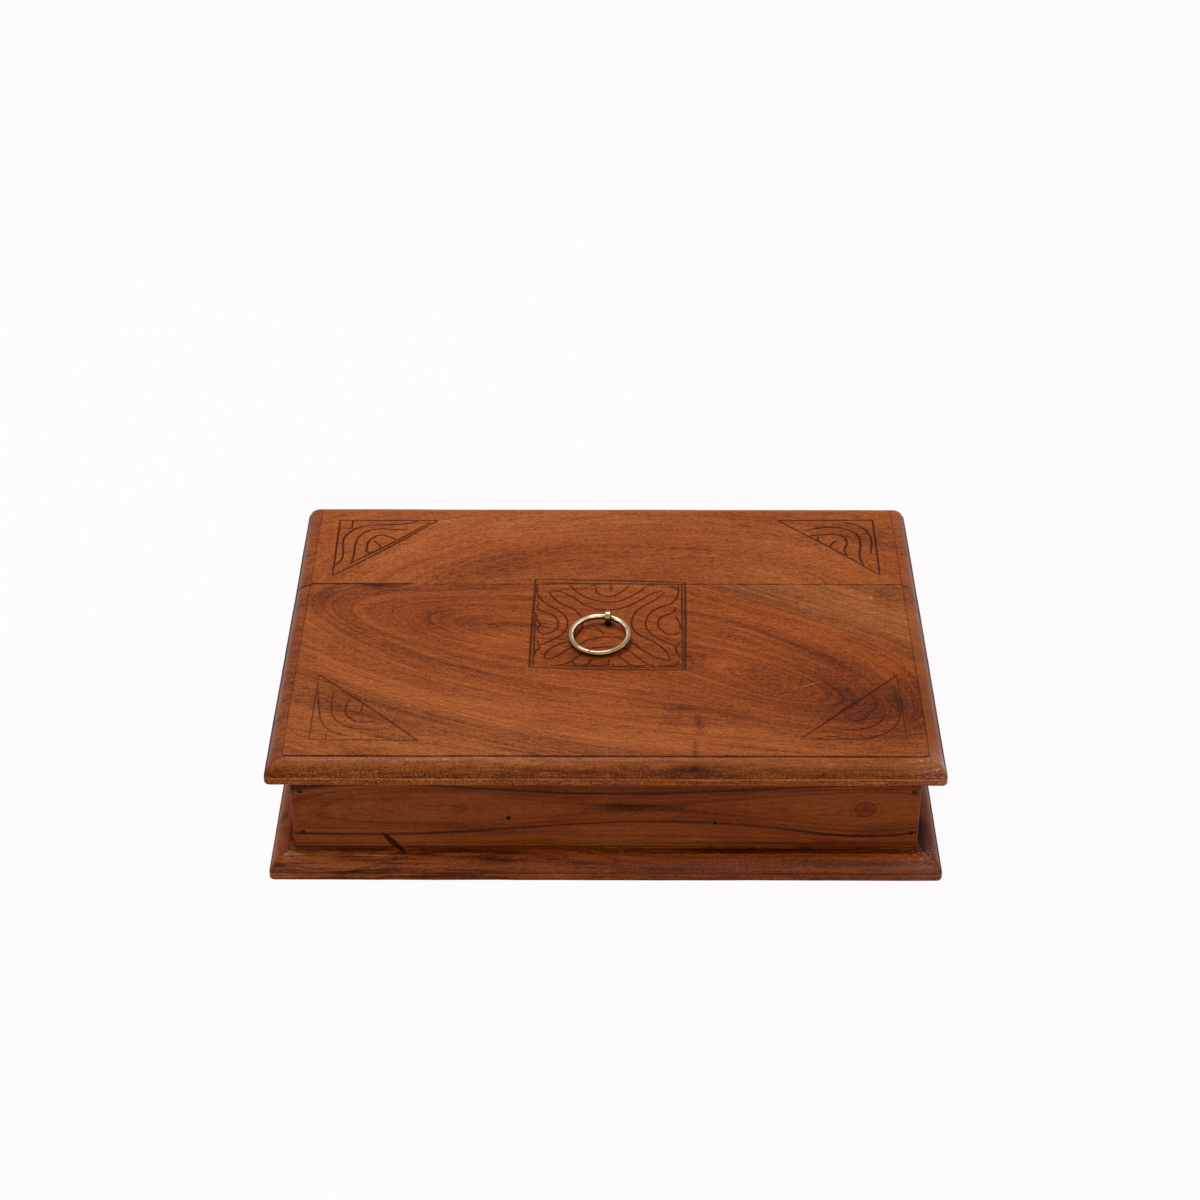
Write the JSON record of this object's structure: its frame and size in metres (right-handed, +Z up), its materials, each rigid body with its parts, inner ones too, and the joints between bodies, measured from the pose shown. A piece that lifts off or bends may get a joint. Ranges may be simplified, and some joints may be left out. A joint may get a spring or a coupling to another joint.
{
  "type": "storage box",
  "caption": "Low wooden box with a hinged moulded lid, a brass ring pull, a moulded base board and an inside divided for papers and keepsakes.",
  "frame": {"origin": "middle of the base board's underside, on the surface that the box stands on", "axes": "+X along the box's length, +Y towards the hinged back, +Z up"},
  "size_m": [0.358, 0.256, 0.0843],
  "materials": {
    "lid_wood": "orange-brown figured hardwood, satin wax",
    "wall_wood": "red-brown hardwood, satin wax",
    "base_wood": "red-brown hardwood, satin wax",
    "divider_wood": "plain hardwood, matt",
    "nail_iron": "dark oxidised iron",
    "hinge_brass": "dull brass",
    "ring_brass": "worn pale brass"
  },
  "bodies": {
    "box": {"base_board": "base_wood", "front_wall": "wall_wood", "back_wall": "wall_wood", "left_wall": "wall_wood", "right_wall": "wall_wood", "left_divider": "divider_wood", "right_divider": "divider_wood", "front_corner_nails": "nail_iron", "back_corner_nails": "nail_iron", "divider_nails": "nail_iron", "base_nails": "nail_iron", "left_hinge_body_leaf": "hinge_brass", "right_hinge_body_leaf": "hinge_brass", "left_hinge_pin": "hinge_brass", "right_hinge_pin": "hinge_brass", "hinge_body_screws": "hinge_brass"},
    "lid": {"lid_front_board": "lid_wood", "lid_rear_board": "lid_wood", "left_hinge_lid_leaf": "hinge_brass", "right_hinge_lid_leaf": "hinge_brass", "hinge_lid_screws": "hinge_brass", "ring_eye": "ring_brass"},
    "ring": {"ring_pull": "ring_brass"}
  },
  "joints": [
    {"name": "lid_hinge", "type": "hinge", "parent": "box", "child": "lid", "pos_m": [0, 0.1174, 0.0611], "axis": [-1, 0, 0], "range_deg": [0, 105]},
    {"name": "ring_swing", "type": "hinge", "parent": "lid", "child": "ring", "pos_m": [0.0012, 0.0012, 0.08055], "axis": [-0.9553, 0.2957, 0], "range_deg": [0, 189]}
  ]
}
